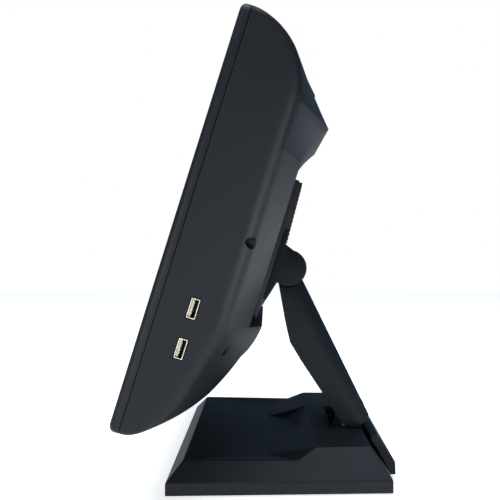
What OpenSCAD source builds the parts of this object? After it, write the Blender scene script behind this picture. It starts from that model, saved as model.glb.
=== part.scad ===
// Countertop touchscreen terminal: head with a rear display pod, tilting on a neck that tilts on a base.
// Millimetres. +Z is up, the screen faces -Y, X is the width. The origin is on the counter, centred.

/* [Head] */
// Width of the head across the bezel
head_w = 362; // [358:1:366]
// Height of the head along the screen
head_h = 290; // [288:1:292]
// Backward lean of the screen at rest, in degrees
lean = 17.4; // [14:0.2:20]
// Depth of the front bezel, up to the seam with the rear housing
seam_d = 7.3; // [6.5:0.1:8]
// Depth of the side faces, up to the rounded ridge
ridge_d = 53.3; // [51:0.1:55]
// Depth of the flat back that carries the tilt bracket
back_d = 68; // [67:0.5:69]
// Depth of the chin under the bracket recess
chin_d = 77.5; // [75:0.1:79]
// Depth at the tip of the display pod
pod_d = 81; // [79:0.5:83]
// Wall thickness of the plastic mouldings
wall = 2.4; // [2:0.1:2.8]

/* [Screen] */
// Width of the visible picture
view_w = 304; // [300:1:306]
// Height of the visible picture
view_h = 228; // [224:1:230]
// Width of the cover glass
glass_w = 318; // [314:1:320]
// Height of the cover glass
glass_h = 246; // [240:1:248]

/* [Stand] */
// Height of the tilt axis above the counter
tilt_z = 162.5; // [160:0.5:165]
// Height of the foot axis above the counter
foot_z = 45; // [44.5:0.1:46]
// Radius of the rounded knuckle ears
ear_r = 15; // [14:0.5:15.5]
// Radius of the rounded foot of the neck
foot_r = 14.2; // [13.6:0.1:14.6]
// Radius of both hinge pins
pin_r = 6; // [5:0.5:6.5]
// Radial clearance of both hinge pins
pin_gap = 0.03; // [0.02:0.01:0.08]
// Half of the width of the neck
neck_x = 45; // [43:0.5:46]

/* [Base] */
// Half width of the base at its front foot line
base_x = 121; // [118:0.5:123]
// Height of the rear platform
platform_z = 30; // [29.5:0.1:30.3]
// Thickness of the steel bottom plate
plate_t = 2.5; // [2:0.1:3]
// Distance between the left and right counter screws
counter_x = 150; // [140:1:160]
// Distance between the front and rear counter screws
counter_y = 80; // [70:1:90]

/* [Hidden] */
$fn = 48;

// ---- places ----
tilt_y = 19;                // tilt axis
foot_y = 73;                // foot axis
half_w = head_w / 2;
mid_u = head_h / 2;         // middle of the screen along its height
pivot = [0, 84.7, 131.1];   // tilt axis in the head's own frame: x, depth, height along the screen
// front lower corner of the head at rest
head_y = tilt_y - pivot[1] * cos(lean) - pivot[2] * sin(lean);
head_z = tilt_z + pivot[1] * sin(lean) - pivot[2] * cos(lean);
steel = "silver";
black = [0.13, 0.14, 0.16];
dark = [0.2, 0.21, 0.23];
board = [0.05, 0.3, 0.16];

base_z0 = 0.8;              // underside of the base, above the counter

// ---- small tools; y is depth and z is height in the head's own frame ----
module at_head() translate([0, head_y, head_z]) rotate([-lean, 0, 0]) children();
module mirrored() { children(); mirror([1, 0, 0]) children(); }
module block(x, y, z, dx, dy, dz) translate([x - dx / 2, y, z - dz / 2]) cube([dx, dy, dz]);
module rod_x(y, z, x0, x1, r) translate([x0, y, z]) rotate([0, 90, 0]) cylinder(h = x1 - x0, r = r);
module rod_y(x, z, y0, y1, r) translate([x, y0, z]) rotate([-90, 0, 0]) cylinder(h = y1 - y0, r = r);
module rod_z(x, y, z0, z1, r) translate([x, y, z0]) cylinder(h = z1 - z0, r = r);
// A side profile, drawn as [y, z], given thickness from x0 to x1
module side(x0, x1) translate([x0, 0, 0]) rotate([90, 0, 90]) linear_extrude(height = x1 - x0) children();
function bend(a, b, c, s) = (1 - s) * (1 - s) * a + 2 * s * (1 - s) * b + s * s * c;
function clamped(v, lo, hi) = max(lo, min(hi, v));
// A closed skin over a list of rings that all have the same number of points
module loft(rings) {
    n = len(rings[0]);
    last = (len(rings) - 1) * n;
    points = [for (r = rings) for (p = r) p];
    walls = [for (k = [0:len(rings) - 2]) for (i = [0:n - 1])
        let (a = k * n + i, b = k * n + (i + 1) % n) each [[a, a + n, b + n], [a, b + n, b]]];
    polyhedron(points, concat([[for (i = [0:n - 1]) i]], walls, [[for (i = [n - 1:-1:0]) last + i]]));
}

// ---- head outline: half width and depths as functions of the height u along the screen ----
corner_r = 6.5;
chin_u = 83;                // top of the chin, where the bracket recess starts
pod_u = 208.5;              // parting line between the housing and the pod
tip_u = 243;                // tip of the pod
crown_u = 240;              // where the rounded top starts
crown_r = head_h - crown_u;
face_slope = 0.93;          // how fast the pod's slanted face loses depth
face_end = 272;             // where that face runs into the rounded top
crown_d = 62;               // depth of the crown's ellipse on the middle line
side_draft = 11;            // how far the side face leans in from the seam to the ridge
function half_width(u) = let (e = clamped(corner_r - min(u, head_h - u), 0, corner_r))
    half_w - corner_r + sqrt(corner_r * corner_r - e * e);
function crown(u) = sqrt(max(0, 1 - pow((u - crown_u) / crown_r, 2)));
// The ridge runs along the bottom corner's curve, up the chin, along the back and over the crown
low_u = 28;
low_d = 38;
function ridge_at(u) = max(seam_d + 1,
    u < low_u ? let (s = (sqrt(1 + 4 * (low_u - 1) * max(u, 0)) - 1) / (2 * (low_u - 1)))
        bend(seam_d, 24, low_d, s)
    : u < chin_u ? low_d + (ridge_d - low_d) * (u - low_u) / (chin_u - low_u)
    : u < crown_u ? ridge_d : seam_d + (ridge_d - seam_d) * crown(u));
// The middle line: chin, step, flat back, concave underside of the pod, slanted face, crown
kink_u = 56;
kink_d = 68.8;
function back_at(u) =
    u < kink_u ? max(ridge_at(u),
        let (s = (sqrt(144 + 176 * max(u, 0)) - 12) / 88) bend(seam_d, 51, kink_d, s))
    : u < chin_u ? let (s = (sqrt(400 + 28 * (u - kink_u)) - 20) / 14) bend(kink_d, 77, chin_d, s)
    : u < pod_u ? back_d
    : u < tip_u ? back_d + (pod_d - back_d) * pow((u - pod_u) / (tip_u - pod_u), 2)
    : max(ridge_at(u), min(pod_d - face_slope * (u - tip_u),
        u < face_end ? pod_d : seam_d + crown_d * crown(u)));
ridge_x = half_w - side_draft;
flat_x = 115;               // half width of the flat back
tip_x = 86;                 // half width of the pod's tip
band_slope = (back_d - ridge_d) / (ridge_x - flat_x);
function ridge_half(u) = half_width(u) - side_draft * (ridge_at(u) - seam_d) / (ridge_d - seam_d);
function back_half(u) = let (rise = back_at(u) - ridge_at(u))
    u < pod_u ? min(ridge_half(u) - 2, ridge_half(u) - rise / band_slope)
    : u < tip_u ? flat_x + (tip_x - flat_x) * (u - pod_u) / (tip_u - pod_u)
    : tip_x + (half_width(u) - 60 - tip_x) * pow((u - tip_u) / (head_h - tip_u), 2);
// Half of the outline across the head at u, with the ridge rounded
ridge_round = 9;
function toward(a, b, d) = a + (b - a) * min(0.42, d / max(0.01, norm(b - a)));
function half_section(u) = let (a = [half_width(u), seam_d], r = [ridge_half(u), ridge_at(u)],
    b = [back_half(u), back_at(u)], p = toward(r, a, ridge_round), q = toward(r, b, ridge_round))
    concat([a], [for (s = [0:1 / 4:1]) bend(p, r, q, s)], [b]);
function ring_at(u, half) = concat([for (p = half) [p[0], p[1], u]],
    [for (i = [len(half) - 1:-1:0]) [-half[i][0], half[i][1], u]]);
outer_rows = [0, 0.5, 1.5, 3, 5.5, 9, 14, 20, 28, 36, 46, 56, 59, 63, 69, 76, chin_u - 0.1, chin_u + 0.1,
    150, pod_u, 214, 221, 228, 235, crown_u, tip_u, 250, 258, 265, face_end, 276, 280, 283, 286, 288.2,
    289.4, head_h];
module head_solid() loft([for (u = outer_rows) ring_at(u, half_section(u - 0.0001))]);
// The hollow inside the housing keeps one wall from the outline
skin = 3;
deck_drop = 1.6;            // how far the pod's deck lies below the ridge
function inside_of(a, b, c) = max(seam_d + 0.4, min(a, b, c) - wall);
function hollow_ridge(u) = inside_of(ridge_at(u - skin), ridge_at(u), ridge_at(u + skin)) - deck_drop;
function hollow_back(u) = u > pod_u - skin ? hollow_ridge(u)
    : inside_of(back_at(u - skin), back_at(u), back_at(u + skin));
function hollow_half(u) = let (w = half_width(u) - wall - 0.3, d = max(seam_d + 0.4, hollow_ridge(u)))
    [[w, seam_d - 2], [w - side_draft * (d - seam_d) / (ridge_d - seam_d) - 0.4, d],
        [min(back_half(u), w - 40) - 2, max(d, hollow_back(u))]];
hollow_rows = [3, 5, 8, 12, 17, 24, 31, 40, 50, 60, 67, 74, chin_u - skin, chin_u - skin + 0.2, 140,
    pod_u - skin - 0.1, pod_u - skin + 0.1, 240, 252, 262, 270, 276, 281, 285, 287];
module head_hollow() loft([for (u = hollow_rows) ring_at(u, hollow_half(u))]);
// The pod lies on a deck that follows the ridge from the side
module pod_zone() side(-half_w - 5, half_w + 5) polygon(concat(
    [for (u = [crown_u:(crown_r - 3) / 12:head_h - 3]) [ridge_at(u) - deck_drop, u]],
    [[pod_d + 20, head_h - 3], [pod_d + 20, pod_u], [ridge_d - deck_drop, pod_u]]));

// ---- housing features ----
side_screw = [half_w - 14, 143];    // x and height of the screw that breaks out through the ridge
chin_screw = [140, 66];
side_screw_d = 39;                  // depth of each screw head's seat
chin_screw_d = 46;
recess_r = 4;
screw_r = 1.5;
bay_x = 82;                         // connector bay in the chin's underside
bay_d = [25, 51];
bay_u = 34;
usb_u = [64.3, 91.5];
usb_d = 29;
usb_open = [14.4, 7];               // opening for each side port
button_u = 66;
button_d = 27;
button_r = 5;
lamp_u = 82;
vesa = 75;                          // bracket hole spacing
bracket_u = 143;
function side_face_x(d) = half_w - side_draft * (d - seam_d) / (ridge_d - seam_d);

module screw_seats(grow) {
    mirrored() {
        rod_y(side_screw[0], side_screw[1], side_screw_d - (grow > 0 ? wall : 0), 90, recess_r + grow);
        rod_y(chin_screw[0], chin_screw[1], chin_screw_d - (grow > 0 ? wall : 0), 90, recess_r + grow);
    }
}
module rear_housing() color(black) at_head() difference() {
    head_solid();
    difference() {
        head_hollow();
        screw_seats(1.8);
        block(0, bay_d[0] - wall, 0, 2 * (bay_x + wall), bay_d[1] - bay_d[0] + 2 * wall,
            2 * (bay_u + wall));
        rod_x(button_d, button_u, -half_w, -half_w + 14, button_r + 3.6);
        bracket_screw_grid() rod_y(0, 0, back_d - 9, back_d, 5);
    }
    pod_zone();
    screw_seats(0);
    mirrored() {
        rod_y(side_screw[0], side_screw[1], seam_d, 90, screw_r + 0.3);
        rod_y(chin_screw[0], chin_screw[1], seam_d, 90, screw_r + 0.3);
    }
    block(0, bay_d[0], 0, 2 * bay_x, bay_d[1] - bay_d[0], 2 * bay_u);
    block(0, bay_d[0] + 1.5, bay_u, 2 * bay_x - 16, 17.5, 10);
    for (u = usb_u) block(half_w - 6, usb_d - usb_open[1] / 2, u, 24, usb_open[1], usb_open[0]);
    rod_x(button_d, button_u, -half_w - 5, -half_w + 20, button_r + 0.3);
    rod_x(button_d, button_u, -half_w + 11, -half_w + 20, button_r + 2.2);
    rod_x(button_d, lamp_u, -half_w - 5, -half_w + 20, 1.6);
    bracket_screw_grid() rod_y(0, 0, back_d - 8, back_d + 1, 2);
    block(0, ridge_d - 20, 232, 150, 40, 24);
}

// ---- customer display pod ----
pod_tilt = atan(face_slope);
module at_face() translate([0, pod_d, tip_u]) rotate([pod_tilt, 0, 0]) children();
window = [176, 24];         // width and height of the smoked window
window_s = 40;              // its middle, measured up the slanted face from the tip
function pod_half(u, back) = [[ridge_half(u) - 8, ridge_at(u) - 12], [ridge_half(u) - 8, ridge_at(u) - 1],
    [back_half(u) - 3, back]];
pod_rows = [pod_u + wall, 216, 224, 232, tip_u - 2, 247, 255, 264, 274];
module pod_hollow() loft([for (u = pod_rows) ring_at(u, pod_half(u, min(back_at(u - skin), back_at(u),
    back_at(u + skin)) - wall))]);
module display_pod() color(dark) at_head() difference() {
    intersection() { head_solid(); pod_zone(); }
    pod_hollow();
    at_face() block(0, -8, window_s, window[0] - 8, 20, window[1] - 6);
}
module pod_window() color([0.05, 0.05, 0.07]) at_head() at_face()
    block(0, 0.05, window_s - 1, window[0], 1.5, window[1]);
module pod_display() color([0.1, 0.35, 0.35]) at_head() at_face() {
    block(0, -10.6, 29, 150, 1.41, 18);
    block(0, -9.2, 33, 148, 5, 16);
}

// ---- screen ----
glass_t = 2.8;
tape_t = 0.5;
lip_d = glass_t + tape_t;
front_r = 4;                // rounding of the bezel's front edge
rail = [170, [40, 100, 190, 250]];      // bosses for the panel frame: x, and heights along the screen
frame_d = 18.2;             // front of the panel frame
frame_t = 1.2;
boss_r = 3.4;
panel = [325, 10.4, 252];
function round_rect(hx, hz, r, y) = [for (c = [0:3]) for (i = [0:4]) let (a = 90 * c + 22.5 * i,
    sx = c == 0 || c == 3 ? 1 : -1, sz = c < 2 ? 1 : -1)
    [sx * (hx - r) + r * cos(a), y, mid_u + sz * (hz - r) + r * sin(a)]];
module bezel_solid() loft(concat([round_rect(half_w, mid_u, corner_r, seam_d - 0.1)],
    [for (a = [0:18:90]) let (e = front_r * (1 - cos(a)), y = front_r * (1 - sin(a)))
        round_rect(half_w - e, mid_u - e, corner_r - e * 0.8, y)]));
module front_bezel() color(black) at_head() difference() {
    union() {
        bezel_solid();
        loft([for (y = [seam_d + 2.2, seam_d - 0.5])
            round_rect(half_w - wall - 1.9, mid_u - 4, corner_r - 3, y)]);
        for (x = [-1, 1]) for (u = rail[1]) rod_y(x * rail[0], u, seam_d - 1, frame_d, boss_r);
        for (x = [-1, 1]) rod_y(x * side_screw[0], side_screw[1], seam_d - 1, side_screw_d - wall, 3.7);
    }
    block(0, -1, mid_u, glass_w + 0.8, lip_d + 1, glass_h + 0.8);
    block(0, -1, mid_u, view_w, 20, view_h);
    block(0, seam_d - 1.8, mid_u, panel[0] + 1, 20, panel[2] + 1);
    for (x = [-1, 1]) for (u = rail[1]) rod_y(x * rail[0], u, frame_d - 9, frame_d + 1, 1.25);
    for (x = [-1, 1]) rod_y(x * side_screw[0], side_screw[1], side_screw_d - 14, side_screw_d, 1.25);
}
module touch_glass() color([0.04, 0.05, 0.06]) at_head()
    block(0, 0.1, mid_u, glass_w, glass_t - 0.1, glass_h);
module glass_tape() color("black") at_head() difference() {
    block(0, glass_t, mid_u, glass_w - 1, tape_t, glass_h - 1);
    block(0, glass_t - 1, mid_u, view_w + 2, tape_t + 2, view_h + 2);
}
module lcd_panel() color([0.25, 0.27, 0.3]) at_head()
    block(0, seam_d + 0.3, mid_u, panel[0], panel[1], panel[2]);
module panel_frame() color(steel) at_head() difference() {
    union() {
        block(0, frame_d, mid_u, panel[0] - 2, frame_t, panel[2] - 2);
        for (x = [-1, 1]) for (u = rail[1]) block(x * (rail[0] - 6), frame_d, u, 18, frame_t, 14);
    }
    for (x = [-1, 1]) for (u = rail[1]) rod_y(x * rail[0], u, frame_d - 1, frame_d + 5, 1.6);
    for (x = [-1, 1]) rod_y(x * side_screw[0], side_screw[1], frame_d - 1, frame_d + 5, 5);
}
module head_screw(x, u, seat, r, head_r, long) {
    rod_y(x, u, seat, seat + 1.8, head_r);
    rod_y(x, u, seat - long, seat + 0.01, r);
}
module frame_screws() color(steel) at_head()
    for (x = [-1, 1]) for (u = rail[1]) head_screw(x * rail[0], u, frame_d + frame_t, 1.2, 2.6, 8);
module housing_screws() color(dark) at_head() mirrored() {
    head_screw(side_screw[0], side_screw[1], side_screw_d, 1.2, 3, 14);
    head_screw(chin_screw[0], chin_screw[1], chin_screw_d, 1.2, 3, 12);
}
module chassis_posts() color("goldenrod") at_head() mirrored() difference() {
    rod_y(chin_screw[0], chin_screw[1], frame_d + frame_t, chin_screw_d - wall, 4);
    rod_y(chin_screw[0], chin_screw[1], chin_screw_d - 15, chin_screw_d, 1.25);
}

// ---- electronics ----
pcb_d = 25;
pcb_t = 1.6;
pcb_mid = 124;
pcb = 170;
top_d = pcb_d + pcb_t;
floor_d = frame_d + frame_t;
module board_grid() for (x = [-1, 1]) for (z = [-1, 1])
    translate([x * (pcb / 2 - 6), 0, pcb_mid + z * (pcb / 2 - 6)]) children();
module mainboard() color(board) at_head() difference() {
    block(0, pcb_d, pcb_mid, pcb, pcb_t, pcb);
    board_grid() rod_y(0, 0, pcb_d - 1, pcb_d + 3, 1.6);
}
module board_standoffs() color("goldenrod") at_head() board_grid() difference() {
    rod_y(0, 0, floor_d, pcb_d, 2.8);
    rod_y(0, 0, floor_d + 1, pcb_d + 1, 1.25);
}
module board_screws() color(steel) at_head() board_grid() head_screw(0, 0, top_d, 1.2, 2.7, 4.5);
module processor() color("slategray") at_head() block(8, top_d, 140, 36, 3, 36);
module heat_sink() color([0.6, 0.62, 0.65]) at_head() {
    block(8, top_d + 3, 140, 74, 4, 74);
    for (i = [0:10]) block(8 - 34 + 6.8 * i, top_d + 6.9, 140, 1.6, 18, 74);
}
module memory_module() color([0.07, 0.25, 0.12]) at_head() {
    block(-62, top_d, 94, 10, 5.2, 74);
    block(-44, top_d + 2.4, 94, 27, 1.2, 67.6);
}
module solid_state_drive() color([0.35, 0.37, 0.4]) at_head() block(-90, floor_d, 245.1, 100, 7, 69.8);
module touch_controller() color(board) at_head() {
    block(60, floor_d + 4, 240, 80, 1.6, 32);
    for (x = [-1, 1]) block(60 + x * 34, floor_d, 240, 6, 4.01, 6);
    block(60, floor_d + 5.6, 240, 14, 1.2, 14);
}
module speaker() color(dark) at_head() {
    block(118, floor_d, 240, 28, 3, 46);
    rod_y(118, 240, floor_d + 3, floor_d + 11, 12.5);
}

// ---- connectors in the chin bay ----
panel_u = bay_u + wall;
port_wall = 1.3;
module port(x, w, h, long) block(x, top_d, bay_u - 1 + long / 2, w, h, long);
module io_panel() color(steel) at_head() difference() {
    block(0, top_d, panel_u + 0.5, 2 * bay_x - 8, 22, 1);
    port(-66, 14.4, 11.4, 20);
    port(-42, 16.6, 13.9, 22);
    port(-20, 14.7, 16.4, 22);
    port(10, 31.2, 12.9, 20);
    port(50, 14, 13.4, 20);
}
module dc_inlet() color([0.08, 0.08, 0.09]) at_head() difference() {
    port(-66, 14, 11, 14);
    rod_z(-66, top_d + 5.5, bay_u - 2, bay_u + 8, 3.2);
}
module lan_port() color(steel) at_head() difference() {
    port(-42, 16.2, 13.5, 21);
    translate([0, port_wall, 0]) port(-42, 11.8, 11, 12);
}
module usb_stack() color(steel) at_head() difference() {
    port(-20, 14.3, 16, 18);
    for (y = [2.4, 9.2]) translate([0, y, 0]) port(-20, 12.4, 4.6, 10);
}
module serial_ports() color([0.3, 0.32, 0.36]) at_head() {
    port(10, 30.8, 12.5, 8);
    translate([0, 0, 7.9]) port(10, 28, 10, 6);
}
module drawer_port() color([0.08, 0.08, 0.09]) at_head() difference() {
    port(50, 13.6, 13, 16);
    translate([0, port_wall, 0]) port(50, 9.6, 9.6, 9);
}

// ---- side ports ----
usb_shell = [13.1, 5.7];
usb_face = side_face_x(usb_d) - 0.3;
usb_back = usb_face - 14;
usb_mid = (usb_face + usb_back) / 2;
usb_wall = 0.4;
module side_usb_board() color(board) at_head() block(usb_back - 0.8, 21, 78, 1.6, 18, 56);
module usb_shells() color(steel) at_head() for (u = usb_u) difference() {
    block(usb_mid, usb_d - usb_shell[1] / 2, u, usb_face - usb_back, usb_shell[1], usb_shell[0]);
    block(usb_mid + 1, usb_d - usb_shell[1] / 2 + usb_wall, u, usb_face - usb_back,
        usb_shell[1] - 2 * usb_wall, usb_shell[0] - 2 * usb_wall);
}
module usb_tongues() color([0.9, 0.88, 0.8]) at_head() for (u = usb_u)
    block(usb_back + 7, usb_d - usb_shell[1] / 2 + 0.4, u, 11, 1.9, 11.4);
module usb_contacts() color("gold") at_head() for (u = usb_u) for (i = [-1.5:1:1.5])
    block(usb_back + 7.5, usb_d - usb_shell[1] / 2 + 2.3, u + 2.3 * i, 8, 0.3, 1.1);

// ---- power button ----
button_face = -side_face_x(button_d) - 1;
module power_button() color(dark) at_head() {
    rod_x(button_d, button_u, button_face, -half_w + 12.2, button_r);
    rod_x(button_d, button_u, -half_w + 11.3, -half_w + 12.2, button_r + 1.4);
    rod_x(button_d, button_u, -half_w + 12.2, -half_w + 14, 1.8);
}
module button_switch() color(board) at_head() {
    block(-half_w + 19.2, 20, 73, 1.6, 14, 30);
    block(-half_w + 16.9, button_d - 3, button_u, 3, 6, 6);
}
module status_lamp() color([0.6, 0.9, 0.7]) at_head()
    rod_x(button_d, lamp_u, -side_face_x(button_d) + 0.2, -half_w + 18.4, 1.5);

// ---- tilt bracket on the back of the head ----
ear_x = [34, 46.5];
cap_x = 50;                 // outer face of the caps over the ears
plate_d = 4;
bracket_low = 86;
bracket_high = 201;
strip_low = [78.2, 150];    // ends of the ribbed strip's outer face
strip_high = [75.9, 199];
module bracket_screw_grid() for (x = [-1, 1]) for (z = [-1, 1])
    translate([x * vesa / 2, 0, bracket_u + z * vesa / 2]) children();
module ear_outline() {
    translate([pivot[1], pivot[2]]) circle(r = ear_r);
    polygon([[back_d + 1, 92], [back_d + plate_d + 1, 92], [back_d + plate_d + 1.3, 94],
        [pivot[1] - 5.2, pivot[2] - 13.7], [pivot[1], pivot[2] + ear_r - 0.1], [77, 149],
        [75.2, bracket_high], [back_d + 1, bracket_high]]);
}
module tilt_bracket() color([0.1, 0.11, 0.13]) at_head() difference() {
    union() {
        block(0, back_d, (bracket_low + bracket_high) / 2, 120, plate_d, bracket_high - bracket_low);
        mirrored() side(ear_x[0], ear_x[1]) ear_outline();
    }
    rod_x(pivot[1], pivot[2], -60, 60, pin_r + pin_gap);
    bracket_screw_grid() rod_y(0, 0, back_d - 1, back_d + 20, 2.2);
    bracket_screw_grid() rod_y(0, 0, back_d + plate_d, back_d + 30, 4.2);
}
module hinge_caps() color([0.12, 0.13, 0.15]) at_head() mirrored() difference() {
    side(ear_x[1], cap_x) intersection() {
        ear_outline();
        translate([back_d + plate_d + 0.3, pivot[2] - 30]) square([60, 60]);
    }
    rod_x(pivot[1], pivot[2], ear_x[1] - 1, ear_x[1] + 2.4, pin_r + 3);
}
module bracket_cover() color([0.35, 0.37, 0.4]) at_head() difference() {
    side(-ear_x[0] + 0.6, ear_x[0] - 0.6) polygon([[back_d + plate_d, 149], [strip_low[0], strip_low[1]],
        [strip_high[0], strip_high[1]], [back_d + plate_d, 200]]);
    for (i = [0.5:1:12.5]) let (p = strip_low + (strip_high - strip_low) * i / 13)
        translate([0, p[0], p[1]]) rotate([45, 0, 0]) cube([80, 1, 1], center = true);
}
module bracket_screws() color(steel) at_head() bracket_screw_grid() {
    rod_y(0, 0, back_d + plate_d, back_d + plate_d + 2.4, 3.6);
    rod_y(0, 0, back_d - 6, back_d + plate_d + 0.01, 1.95);
}

// ---- hinge at the top of the neck ----
hub_r = 11.5;
hub_x = 33;
side_gap = 0.3;             // side play of both hinges
module tilt_shaft() color(steel) {
    rod_x(tilt_y, tilt_z, -ear_x[1] - 1.5, ear_x[1] + 2, pin_r);
    rod_x(tilt_y, tilt_z, -ear_x[1] - 2, -ear_x[1] - 0.1, pin_r + 2.5);
}
module tilt_washers() color("goldenrod") mirrored() difference() {
    rod_x(tilt_y, tilt_z, hub_x, ear_x[0] - side_gap, pin_r + 4.5);
    rod_x(tilt_y, tilt_z, hub_x - 1, ear_x[0] + 1, pin_r + pin_gap);
}
module tilt_nut() color(steel) difference() {
    rod_x(tilt_y, tilt_z, ear_x[1] + 0.1, ear_x[1] + 2, pin_r + 2.5);
    rod_x(tilt_y, tilt_z, ear_x[1], ear_x[1] + 5, pin_r);
}

// ---- neck ----
neck_lean = 26.2;           // lean of the neck's rear face
rear_n = 9.8;               // how far the rear face lies behind the foot axis
rear_chamfer = 8.5;
neck_front = [[12.2, 145.4], [14.8, 130.6], [18.2, 110.9], [20.6, 101], [29.6, 86], [45.8, 61.6],
    [61.2, 37.2]];
// The neck's own frame: y points out of its rear face, z runs up the neck, origin on the foot axis
module at_neck() translate([0, foot_y, foot_z]) rotate([neck_lean, 0, 0]) children();
module neck_outline() difference() {
    union() {
        translate([foot_y, foot_z]) circle(r = foot_r);
        intersection() {
            polygon(concat(neck_front, [[foot_y - 4, foot_z], [foot_y + 12, foot_z - 4], [100, foot_z + 10],
                [60, tilt_z], [tilt_y, tilt_z + 2]]));
            translate([foot_y, foot_z]) rotate(neck_lean) translate([-60, -5]) square([60 + rear_n, 140]);
        }
    }
    translate([foot_y, foot_z]) rotate(neck_lean) translate([rear_n, -60]) square([40, 100]);
    translate([tilt_y, tilt_z]) circle(r = ear_r + 1);
}
module neck_solid() intersection() {
    side(-neck_x, neck_x) neck_outline();
    at_neck() translate([0, 0, -40]) linear_extrude(height = 200) polygon([[-neck_x, -60], [neck_x, -60],
        [neck_x, rear_n - rear_chamfer], [neck_x - 8, rear_n], [8 - neck_x, rear_n],
        [-neck_x, rear_n - rear_chamfer]]);
}
module neck_hollow() intersection() {
    side(wall - neck_x, neck_x - wall) offset(delta = -wall) neck_outline();
    at_neck() translate([0, 0, -40]) linear_extrude(height = 200) polygon([[-neck_x + wall, -60],
        [neck_x - wall, -60], [neck_x - wall, rear_n - rear_chamfer - 1], [neck_x - 9, rear_n - wall],
        [9 - neck_x, rear_n - wall], [wall - neck_x, rear_n - rear_chamfer - 1]]);
}
module foot_gap() at_neck() translate([-hub_x - 1, -30, -30]) cube([2 * hub_x + 2, 60, 38.2]);
module neck_split(front) at_neck() translate([-60, front ? -100 : rear_n - rear_chamfer, -40])
    cube([120, front ? 100 + rear_n - rear_chamfer : 40, 240]);
module neck_top_gap(to) at_neck() translate([1 - hub_x, -20, 108]) cube([2 * hub_x - 2, 20 + to, 60]);
neck_screw_z = [38, 92];
module neck_screw_grid() for (x = [-1, 1]) for (z = neck_screw_z)
    at_neck() translate([x * 34, 0, z]) children();
module neck_front_shell() color(dark) difference() {
    union() {
        difference() {
            neck_solid();
            neck_hollow();
        }
        intersection() {
            neck_solid();
            union() {
                neck_screw_grid() rod_y(0, 0, -12, rear_n - rear_chamfer, 3.2);
                mirrored() for (z = neck_screw_z) at_neck()
                    block(40, -12, z, 12, 12 + rear_n - rear_chamfer, 2.4);
            }
        }
    }
    neck_split(false);
    foot_gap();
    neck_screw_grid() rod_y(0, 0, -8, 20, 1.25);
    neck_top_gap(20);
}
module neck_rear_cover() color(dark) difference() {
    neck_solid();
    neck_hollow();
    neck_split(true);
    foot_gap();
    neck_top_gap(rear_n - wall);
    neck_screw_grid() rod_y(0, 0, -20, 20, 1.7);
    neck_screw_grid() rod_y(0, 0, rear_n - 1.2, 20, 3.1);
}
module neck_screws() color(steel) neck_screw_grid() {
    rod_y(0, 0, rear_n - 1.2, rear_n - 0.2, 2.9);
    rod_y(0, 0, -6, rear_n - 1.19, 1.2);
}
arm_x = [20, 25];           // inner and outer face of each steel cheek
module arm_cheek(x0, x1) side(x0, x1) union() {
    translate([foot_y, foot_z]) circle(r = 10);
    translate([tilt_y, tilt_z]) circle(r = hub_r);
    polygon([[foot_y - 9, foot_z + 3], [foot_y + 4, foot_z + 8], [40, 108], [tilt_y + 6, tilt_z - 8],
        [tilt_y - 2, tilt_z - 11], [31, 96]]);
}
module neck_arm() color([0.45, 0.47, 0.5]) difference() {
    union() {
        mirrored() arm_cheek(arm_x[0], arm_x[1]);
        rod_x(tilt_y, tilt_z, -hub_x, hub_x, hub_r);
        rod_x(foot_y, foot_z, -26, 26, 9.5);
        side(-arm_x[1], arm_x[1]) polygon([[35, 96], [38, 97.5], [51, 75], [48, 73.5]]);
    }
    rod_x(tilt_y, tilt_z, -60, 60, pin_r + pin_gap);
    rod_x(foot_y, foot_z, -60, 60, pin_r + pin_gap);
}

// ---- foot hinge ----
lug_x = [27, 31.5];
lug_r = 10.2;
plate_top = base_z0 + plate_t;
module foot_bracket() color([0.45, 0.47, 0.5]) difference() {
    union() {
        mirrored() side(lug_x[0], lug_x[1]) union() {
            translate([foot_y, foot_z]) circle(r = lug_r);
            polygon([[foot_y - 14, plate_top], [foot_y - 8, 26], [foot_y - 8, foot_z - 6],
                [foot_y + 8, foot_z - 6], [foot_y + 8, 26], [foot_y + 14, plate_top]]);
        }
        translate([-lug_x[1] - 12, foot_y - 16, plate_top]) cube([2 * lug_x[1] + 24, 32, 4]);
    }
    rod_x(foot_y, foot_z, -60, 60, pin_r + pin_gap);
    foot_bolt_grid() rod_z(0, 0, 0, 20, 2.6);
}
module foot_bolt_grid() for (x = [-1, 1]) for (y = [-9, 9])
    translate([x * (lug_x[1] + 6), foot_y + y, 0]) children();
module foot_bracket_bolts() color(steel) foot_bolt_grid() {
    rod_z(0, 0, base_z0, plate_top + 4, 2.4);
    rod_z(0, 0, plate_top + 4, plate_top + 7, 4.2);
}
module foot_pin() color(steel) {
    rod_x(foot_y, foot_z, -lug_x[1] - 1, lug_x[1] + 2, pin_r);
    rod_x(foot_y, foot_z, -lug_x[1] - 1.9, -lug_x[1] - 0.2, pin_r + 2);
}
module foot_washers() color("goldenrod") mirrored() difference() {
    rod_x(foot_y, foot_z, 26 + side_gap, lug_x[0], 9.4);
    rod_x(foot_y, foot_z, 25, lug_x[0] + 1, pin_r + pin_gap);
}
module foot_nut() color(steel) difference() {
    rod_x(foot_y, foot_z, lug_x[1] + 0.2, lug_x[1] + 1.9, pin_r + 2);
    rod_x(foot_y, foot_z, lug_x[1], lug_x[1] + 5, pin_r);
}

// ---- base ----
front_y = -72;
rear_y = 94;
rear_x = 115;
band_z = 10;
rim_y = -60;
rim_z = 23.5;
rise_y = 25;
rise_z = 22.4;
step_y = 38.4;
plat_y = 79.5;
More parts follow.
